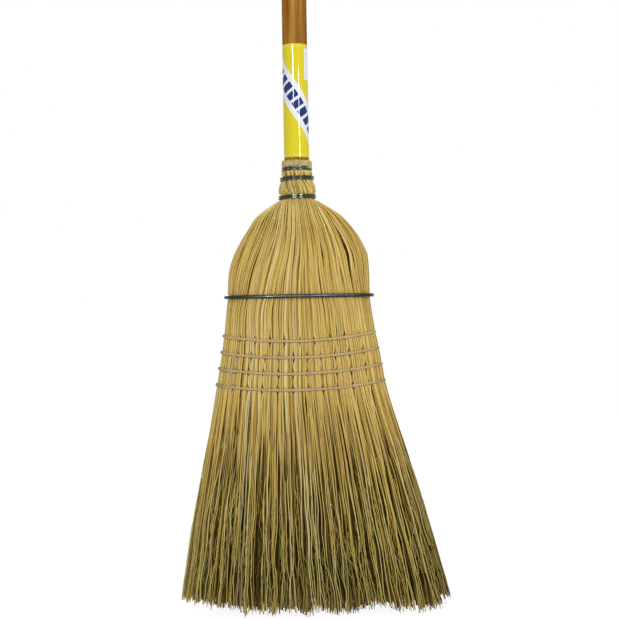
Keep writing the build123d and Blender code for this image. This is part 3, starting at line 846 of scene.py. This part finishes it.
for kind, (count, depth) in stalks["layers"].items():
    share = evenShares(dice, count, stalks["jitter"])
    radius = drawn(stalks["radius"], count)
    heights = np.concatenate([upperHeights, sewnHeights, freeHeights])
    if kind == "whole":
        heights = np.concatenate([neckHeights, heights])
    tuft = nearest(share, tuftShares)
    third = np.arange(count) % 3 == 0
    tips = tipHeights(share, tuft, stalks["tipScatter"]) + np.where(third, 0.0, stalks["higherTips"])
    tips = shortened(tips, stalks)
    z = np.repeat(heights[None, :], count, axis=0)
    freeFrom = stalks["freeFrom"]
    z = np.where(z < freeFrom, tips[:, None] + z * (freeFrom - tips[:, None]) / freeFrom, z)
    if kind == "whole":
        ends = drawn(stalks["buttEnds"], (count, 1))
        buttsFrom = stalks["buttsFrom"]
        z = np.where(z > buttsFrom, z + ends * (z - buttsFrom) / (neckHeights[0] - buttsFrom), z)
    sway = wander(z, *stalks["sway"])
    sway = sway + wander(z, *stalks["looseSway"]) * downFrom(z, *stalks["loose"])
    twist = -stalks["neckTwist"] * drawn(stalks["twistSpread"], (count, 1))
    twist = twist * ease(z, *stalks["twistHeights"])
    emerge = (stalks["emergeDepth"] + depth) * ease(z, *stalks["emergeHeights"])
    if kind == "whole":
        emerge = 0.0
    little = drawn(stalks["sunkLittle"], count)
    much = drawn(stalks["sunkMuch"], count)
    sunk = np.where(third, little, much) + 2.0 * depth
    sunk = sunk[:, None] * downFrom(z, drawn(stalks["sunkFrom"], (count, 1)), stalks["sunkOver"])
    inset = radius[:, None] + depth + emerge + dice.uniform(0.0, stalks["layerDepths"], (count, 1)) + sunk
    skew = dice.normal(0.0, stalks["skew"], (count, 1)) * (z - 350.0) / 110.0 * downFrom(z, 470.0, 60.0)
    line = freeLine(share[:, None] + twist, z, inset, tuft, sway + skew)
    girth = sizeAt(girths, z)
    thick = radius[:, None] * np.clip(girth / stalks["fullGirth"], stalks["thinnest"], 1.0)
    thick = thick * (1 - (1 - stalks["tipRadius"]) * downFrom(z, *stalks["tipFrom"]))
    bound["line"] += list(line)
    bound["radius"] += list(thick)
    bound["share"] += list(share)
    boundMarks["tint"] += list(dice.random(count))
    boundMarks["along"] += list(z)
    # painted shade for deeper layers and sunk stalks, and a random darker tone for some stalks low down
    shade = stalks["layerPaintedShade"] * depth * dice.uniform(0.5, 1.0, (count, 1))
    shade = shade + stalks["lowShade"] * dice.random((count, 1)) ** 2.6 * downFrom(z, *stalks["lowFrom"])
    shade = np.clip(shade + stalks["sunkPaintedShade"] * sunk, 0.0, 1.0)
    boundMarks["deep"] += list(edgeShade(shade, share, z))


def sidePieces(kind, share, lines, radii, marks, slot, stoodFor):
    # a piece for each side of the head
    share = np.mod(np.array(share), 1.0)
    edge = stalks["edgeShare"]
    sides = np.full(len(share), "front", dtype=object)
    sides[share > 0.5] = "back"
    sides[(share < edge) | (share > 1 - edge)] = "left"
    sides[np.abs(share - 0.5) < edge] = "right"
    for side, node in stoodFor.items():
        picked = np.flatnonzero(sides == side)
        sideLines, sideRadii = ([values[k] for k in picked] for values in (lines, radii))
        sideMarks = {key: [values[k] for k in picked] for key, values in marks.items()}
        piece = strawPiece(f"{side}_{kind}", sideLines, sideRadii, sideMarks)
        bends(piece, slot, node)


boundNodes = {"front": "front_hurl", "back": "back_hurl", "left": "left_shoulder", "right": "right_shoulder"}
sidePieces("stalks", bound["share"], bound["line"], bound["radius"], boundMarks, "bound_straw", boundNodes)


# Neck butts: cut ends in two rings round the handle, with frayed bits
butts = {
    "rings": ((15.2, 70), (16.3, 84)),
    "foot": 494.0, "tops": (507.8, 509.6), "radius": (0.4, 0.65), "lean": 0.05,
    "fray": 190, "frayFeet": (500.0, 505.5), "frayLengths": (2.0, 4.5),
    "frayRings": (17.0, 17.1, 16.6), "frayOut": 0.5,
    "frayRadii": (0.5, 0.42, 0.25), "frayLean": 0.22,
}
buttLines = []
buttRadii = []


def addButt(rings, turns, heights, radii):
    buttLines.append(np.column_stack([rings * np.cos(turns), rings * np.sin(turns), heights]))
    buttRadii.append(radii)


for ringRadius, count in butts["rings"]:
    for k in range(count):
        turn = 2 * math.pi * (k + dice.uniform(-0.4, 0.4)) / count
        top = drawn(butts["tops"])
        lean = dice.normal(0.0, butts["lean"])
        heights = np.array([butts["foot"], butts["foot"] + 5.0, top - 2.0, top])
        turns = turn + lean * (heights - butts["foot"]) / 10.0
        addButt(ringRadius, turns, heights, np.full(4, drawn(butts["radius"])))
frayParts = np.array([0.0, 0.5, 1.0])
for k in range(butts["fray"]):
    turn = dice.uniform(0, 2 * math.pi)
    foot = drawn(butts["frayFeet"])
    length = drawn(butts["frayLengths"])
    lean = dice.normal(0.0, butts["frayLean"])
    rings = np.array(butts["frayRings"])
    rings[-1] += dice.uniform(0.0, butts["frayOut"])
    addButt(rings, turn + lean * frayParts, foot + length * frayParts, np.array(butts["frayRadii"]))
buttCount = len(buttLines)
neckButts = strawPiece("neck_butts", buttLines, buttRadii, {
    "tint": dice.uniform(0.3, 0.98, buttCount),
    "along": [line[:, 2] for line in buttLines],
    "deep": dice.uniform(0.0, 0.2, buttCount),
}, buttMaterial)
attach(neckButts, "bound_broom")


# Bed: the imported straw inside, under the stalks; insets are pairs of a height and the inset there
bedShape = {
    "insets": (
        (42.0, 9.0), (120.0, 6.5), (240.0, 5.0), (420.0, 4.8), (456.0, 3.2), (470.0, 1.9), (503.0, 1.5),
    ),
    "rings": ((42.0, 400.0, 30), (410.0, 503.0, 24)),
    "around": 72,
}


def strawBed():
    insetHeights, insets = np.array(bedShape["insets"]).T
    ringHeights = np.concatenate([np.linspace(*rings) for rings in bedShape["rings"]])
    around = np.arange(bedShape["around"]) / bedShape["around"]
    mesh = bmesh.new()
    ring = bmesh.ops.create_circle(mesh, cap_ends=True, segments=len(around), radius=1.0)["verts"]
    rim = [edge for edge in mesh.edges if len(edge.link_faces) == 1]
    for k, height in enumerate(ringHeights):
        if k:
            extruded = bmesh.ops.extrude_edge_only(mesh, edges=rim)["geom"]
            edges = [item for item in extruded if isinstance(item, bmesh.types.BMEdge)]
            rim = [edge for edge in edges if len(edge.link_faces) == 1]
            ring = [item for item in extruded if isinstance(item, bmesh.types.BMVert)]
        z = np.full(len(around), height)
        x, y = onOutline(around, z, np.interp(z, insetHeights, insets))
        ordered = sorted(ring, key=lambda vert: math.atan2(-vert.co.y, -vert.co.x) % (2 * math.pi))
        for vert, px, py in zip(ordered, x, y):
            vert.co = Vector((px, py, height + trimLine)) * mm
    bmesh.ops.contextual_create(mesh, geom=rim)
    bmesh.ops.recalc_face_normals(mesh, faces=mesh.faces)
    for face in mesh.faces:
        face.smooth = True
    return bmeshPiece("straw_bed", mesh, bedMaterial)


bed = strawBed()
bends(bed, "bound_straw", "inner_stalks")
print("bound straw made")


# Free straw: finer fibres that start between the stalks and reach the floor
fringe = {
    "count": 1900, "steps": 22,
    "bold": 130,
    "top": 230,  # these lie on the outside, the bold ones among them
    "roots": (232.0, 262.0),
    "radius": (0.26, 0.62), "boldRadius": (0.48, 0.8), "boldTints": (0.45, 0.96),
    "depths": (1.7, 9.5), "topDepths": (-0.3, 0.8),
    "tipScatter": 1.8, "higherTips": (2.0, 7.0),
    "shortShare": 0.08, "shortBy": (8.0, 110.0),
    "sway": ((120.0, 52.0, 30.0), (1.2, 0.8, 0.4)), "loose": (205.0, 195.0),
    "lean": 1.8, "leanFrom": (225.0, 225.0),
    "hiddenFrom": (150.0, 245.0), "hiddenOver": 45.0, "hiddenDepth": 3.6,
}


def stretched(tips, roots, steps):
    # heights along each fibre
    return tips[:, None] + (roots - tips)[:, None] * steps[None, :]


def outerFringe():
    count = fringe["count"]
    each = np.arange(count)
    share = np.mod(each * 0.618034 + dice.uniform(-0.001, 0.001, count), 1.0)  # golden section
    tuft = nearest(share, tuftShares)
    bold = each < fringe["bold"]
    top = each < fringe["top"]
    tips = shortened(tipHeights(share, tuft, fringe["tipScatter"]), fringe)
    tips = np.where(top, tips, tips + drawn(fringe["higherTips"], count))
    roots = drawn(fringe["roots"], count)
    z = stretched(tips, roots, np.linspace(1.0, 0.0, fringe["steps"]))
    topDepth = drawn(fringe["topDepths"], count)
    depth = np.where(top, topDepth, drawn(fringe["depths"], count))
    sway = wander(z, *fringe["sway"]) * downFrom(z, *fringe["loose"])
    lean = dice.normal(0.0, fringe["lean"], (count, 1)) * downFrom(z, *fringe["leanFrom"])
    hidden = drawn(fringe["hiddenFrom"], (count, 1))
    inset = 0.5 + depth[:, None] * (0.5 + 0.5 * ease(z, 0.0, 200.0))
    inset = inset + fringe["hiddenDepth"] * ease(z, hidden - fringe["hiddenOver"], hidden)
    line = freeLine(share[:, None], z, inset, tuft, sway + lean)
    boldRadius = drawn(fringe["boldRadius"], count)
    radius = np.where(bold, boldRadius, drawn(fringe["radius"], count))
    thick = radius[:, None] * (0.78 + 0.22 * ease(z, 0.0, 150.0))
    boldTint = drawn(fringe["boldTints"], count)
    tint = np.where(bold, boldTint, dice.random(count))
    # painted shade: the fibres between the stalks are darker the deeper they lie; the top ones get a random
    # darker tone
    topDeep = 0.5 * dice.random(count) ** 3
    deep = np.where(top, topDeep, np.clip(depth / 3.0, 0.0, 1.0) ** 0.5)
    deep = edgeShade(deep[:, None] * (0.6 + 0.4 * ease(z, 0.0, 20.0)), share, z)
    freeNodes = {side: side + "_free_straw" for side in boundNodes}
    marks = {"tint": tint, "along": z, "deep": deep}
    sidePieces("fringe", share, line, thick, marks, "free_straw", freeNodes)


outerFringe()

# Inner fibres that fill the skirt
filling = {
    "count": 2000, "steps": 8,
    "roots": 215.0, "radius": (0.35, 0.7),
    "spread": 0.9, "halfWidth": 155.0,
    "higherTips": (6.0, 3.0),
    "swayX": ((110.0,), (2.0,)), "swayY": ((130.0,), (1.5,)), "loose": (210.0, 170.0),
    "shade": 0.55, "middlePaintedShade": 0.4,
}


def innerFringe():
    count = filling["count"]
    turn = dice.uniform(0, 2 * math.pi, count)
    out = np.sqrt(dice.random(count)) * filling["spread"]
    unitX, unitY = out * np.cos(turn), out * np.sin(turn)
    tips = trimmed(unitX * filling["halfWidth"]) + np.abs(dice.normal(*filling["higherTips"], count))
    tips = np.maximum(lowestTip, tips)
    z = stretched(tips, filling["roots"], np.linspace(1.0, 0.0, filling["steps"]))
    reach = np.where(unitX[:, None] < 0, sizeAt(leftReach, z), sizeAt(rightReach, z))
    loose = downFrom(z, *filling["loose"])
    x = unitX[:, None] * reach + wander(z, *filling["swayX"]) * loose
    y = unitY[:, None] * sizeAt(halfDepths, z) + wander(z, *filling["swayY"]) * loose
    radius = drawn(filling["radius"], count)
    thick = radius[:, None] * (0.6 + 0.4 * ease(z, 0.0, 150.0))
    # painted shade: the inner fibres are darkened all over, and more towards the middle
    deep = filling["shade"] + filling["middlePaintedShade"] * (1 - out)
    marks = {"tint": dice.random(count), "along": z, "deep": deep}
    piece = strawPiece("inner_fringe", np.stack([x, y, z], axis=2), thick, marks)
    bends(piece, "free_straw", "inner_free_straw")


innerFringe()

# Frizz: thin curled fibres that stand a little proud
frizz = {
    "count": 340, "steps": 20,
    "roots": (45.0, 155.0), "lengths": (25.0, 90.0), "radii": (0.34, 0.2),
    "curl": ((36.0, 15.0), (2.4, 0.9)), "lean": 4.0, "tipScatter": 3.0,
    "rootDepth": 2.5, "proud": 0.9,
    "tints": (0.2, 1.0), "shade": 0.7,
}


def frizzFibres():
    count = frizz["count"]
    share = dice.random(count)
    tuft = nearest(share, tuftShares)
    roots = drawn(frizz["roots"], count)
    tips = roots - drawn(frizz["lengths"], count)
    tips = np.maximum(tips, tipHeights(share, tuft, frizz["tipScatter"]))
    steps = np.linspace(1.0, 0.0, frizz["steps"])
    z = stretched(tips, roots, steps)
    toTip = 1 - steps[None, :]
    sway = wander(z, *frizz["curl"])
    sway = sway + dice.normal(0.0, frizz["lean"], (count, 1)) * toTip
    inset = 0.4 + frizz["rootDepth"] * ease(steps, 0.7, 1.0)[None, :]
    inset = inset - frizz["proud"] * dice.random((count, 1)) * toTip
    line = freeLine(share[:, None], z, inset, tuft, sway)
    thick = np.broadcast_to(np.linspace(*frizz["radii"], len(steps)), z.shape)
    tint = drawn(frizz["tints"], count)
    marks = {"tint": tint, "along": z, "deep": frizz["shade"] * dice.random(count)}
    piece = strawPiece("frizz", line, thick, marks)
    bends(piece, "free_straw")


frizzFibres()
print("free straw made")


# Twine: two plies twisted together
twineMaterial = twineFinish(twineLook)


def twinePiece(name, routes, stoodFor, thick):
    lines = []
    for route in routes:
        run = np.concatenate([[0.0], np.cumsum(np.linalg.norm(np.diff(route, axis=0), axis=1))])
        at = np.linspace(0.0, run[-1], max(4, int(run[-1] / sewing["step"])))
        path = np.column_stack([np.interp(at, run, route[:, k]) for k in range(3)])
        aim = np.gradient(path, axis=0)
        aim /= np.linalg.norm(aim, axis=1)[:, None]
        side = np.cross(aim, np.array([0.3, 0.2, 0.93]))  # a direction that no twine runs in
        side /= np.linalg.norm(side, axis=1)[:, None] + 1e-9
        other = np.cross(aim, side)
        for ply in range(sewing["plies"]):
            turn = 2 * math.pi * (at / sewing["lay"] + ply / sewing["plies"])
            swing = np.cos(turn)[:, None] * side + np.sin(turn)[:, None] * other
            lines.append(path + swing * thick * sewing["plyOff"])
    radii = [np.full(len(line), thick * sewing["plyRadius"]) for line in lines]
    piece = strawPiece(name, lines, radii, {}, twineMaterial)
    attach(piece, "bound_broom")
    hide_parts(stoodFor)


def rowPoint(row, share, out, rise):
    height = np.full_like(share, sewing["firstRow"] - row * sewing["rowPitch"])
    x, y = onOutline(share, height, -out)
    z = rowHeight(row, x) + rise
    x, y = onOutline(share, z, -out)
    return np.column_stack([x, y, z])


def faceSpot(row, stitch, out, rise, back):
    # a stitch's place on the front or the back
    reach = sewing["reach"][row]
    x = reach * (2 * (stitch + 0.5) / stitchCounts[row] - 1)
    z = rowHeight(row, np.array([x]))[0] + rise
    width, depth, square = (sizeAt(sizes, z) for sizes in (rightReach, halfDepths, squareness))
    y = depth * (1 - (abs(x) / width) ** square) ** (1 / square) + out
    return np.array([x, y if back else -y, z])


# a row runs once round the head and laps at the left edge, one end above the other; it is tight on the right
rowShare = np.linspace(-0.03, 1.03, 420)
rowOut = sewing["out"] - sewing["sunkEnd"] * hump(rowShare - 0.5, 0.03)
rowDrift = sewing["drift"] * (np.linspace(0.0, 1.0, len(rowShare)) - 0.5)
rowDrift = rowDrift * ease(np.abs(rowShare - 0.5), 0.40, 0.5)
# a stitch comes out of the straw above the row, over it and in again below: pairs of out and rise
rise = sewing["rise"]
stitchTop = ((-7.0, rise - 0.2), (-1.0, rise), (1.2, rise - 0.7))
stitchPath = (*stitchTop, (2.0, 0.0), *((out, -up) for out, up in reversed(stitchTop)))
for row in range(sewing["rows"]):
    route = rowPoint(row, rowShare, rowOut, rowDrift)
    twinePiece(f"twine_row_{row + 1}", [route], f"twine_band_{row + 1}", sewing["twine"])
    loops = []
    for stitch in range(stitchCounts[row]):
        for back in (False, True):
            loops.append(np.array([faceSpot(row, stitch, out, up, back) for out, up in stitchPath]))
    stitchThick = sewing["twine"] * sewing["stitchTwine"]
    twinePiece(f"twine_stitches_{row + 1}", loops, f"twine_lacing_{row + 1}", stitchThick)

# links step down from the second row to the third and on to the fourth
linkRoutes = []
for row in (1, 2):
    top = faceSpot(row, sewing["linkPlace"], 0.7, -1.0, False)
    foot = faceSpot(row + 1, sewing["linkPlace"], 0.7, 1.0, False)
    middle = (top + foot) / 2 + (0, -0.3, 0)
    linkRoutes.append(np.array([top + (0, 3, 0.8), top, middle, foot, foot + (0, 3, -0.8)]))
twinePiece("twine_steps", linkRoutes, "twine_links", sewing["twine"] * sewing["linkTwine"])
print("twine made")


# Hard pieces keep their own shapes
hardFinishes = {
    "handle": woodFinish(handleLook),
    "label_sleeve": labelFinish(labelLook),
    "inner_wire": wireFinish("neckWire", wireLook["neck"]),
    "wire_band": wireFinish("bandWire", wireLook["band"]),
}
hardFinishes["binding_wire"] = hardFinishes["inner_wire"]
for name, material in hardFinishes.items():
    nodes[name].data.materials.clear()
    nodes[name].data.materials.append(material)
print("hard pieces finished")


# Floor, light and camera
stageLook = {"floor": 60.0, "floorWhite": 0.94, "floorGlow": 1.08, "glowShare": 0.85, "worldLight": 0.62}


def seenRay(tone):
    # rays that show the background: from the camera, from gloss and through clear pieces
    rays = ("Is Camera Ray", "Is Glossy Ray", "Is Transmission Ray")
    camera, glossy, clear = (tone.node("ShaderNodeLightPath", {}, {}, ray) for ray in rays)
    return tone.sum("MAXIMUM", camera, tone.sum("MAXIMUM", glossy, clear))


def whiteFloor():
    material = bpy.data.materials.new("whiteFloor")
    material.use_nodes = True
    tree = material.node_tree
    tree.nodes.clear()
    tone = Tone(tree)
    diffuse = tone.node("ShaderNodeBsdfDiffuse", {}, {"Color": grey(stageLook["floorWhite"])})
    glow = tone.node("ShaderNodeEmission", {}, {"Color": grey(1.0), "Strength": stageLook["floorGlow"]})
    share = seenRay(tone) * stageLook["glowShare"]
    surface = tone.node("ShaderNodeMixShader", {}, {0: share, 1: diffuse, 2: glow})
    setInputs(tree.nodes.new("ShaderNodeOutputMaterial"), {"Surface": surface})
    mesh = bmesh.new()
    bmesh.ops.create_grid(mesh, x_segments=1, y_segments=1, size=stageLook["floor"])
    floor = bmeshPiece("floor", mesh, material)


whiteFloor()

world = bpy.data.worlds.new("studio")
scene.world = world
world.use_nodes = True
strength = seenRay(Tone(world.node_tree)) * (1.0 - stageLook["worldLight"]) + stageLook["worldLight"]
setInputs(world.node_tree.nodes["Background"], {"Color": grey(1.0), "Strength": strength})


def areaLight(name, place, target, size, watts):
    data = bpy.data.lights.new(name, "AREA")
    data.shape = "RECTANGLE"
    data.size, data.size_y = size
    data.energy = watts
    lamp = placed(name, data)
    lamp.location = place
    lamp.rotation_euler = (Vector(target) - Vector(place)).to_track_quat("-Z", "Y").to_euler()


areaLight("keyLight", place=(0.75, -1.7, 1.5), target=(0, 0, 0.3), size=(0.5, 0.5), watts=8.5)
areaLight("leftPane", place=(-0.62, -1.8, 0.985), target=(0, 0, 0.62), size=(0.26, 0.17), watts=7.6)
areaLight("rightPane", place=(0.95, -1.65, 0.863), target=(0, 0, 0.57), size=(0.19, 0.24), watts=8.2)
areaLight("backLight", place=(-0.5, 1.9, 1.4), target=(0, 0, 0.4), size=(0.6, 0.6), watts=12.0)

view = {"distance": 1.45, "height": 0.3459, "aside": 0.0123, "lens": 73.2, "sensor": 36.0, "roll": 1.0}
camera = placed("camera", bpy.data.cameras.new("camera"))
camera.data.lens = view["lens"]
camera.data.sensor_width = view["sensor"]
camera.location = (view["aside"], -view["distance"], view["height"])
camera.rotation_euler = (math.radians(90.0), math.radians(view["roll"]), 0.0)
scene.camera = camera
scene.view_settings.view_transform = "Standard"
print("stage set")
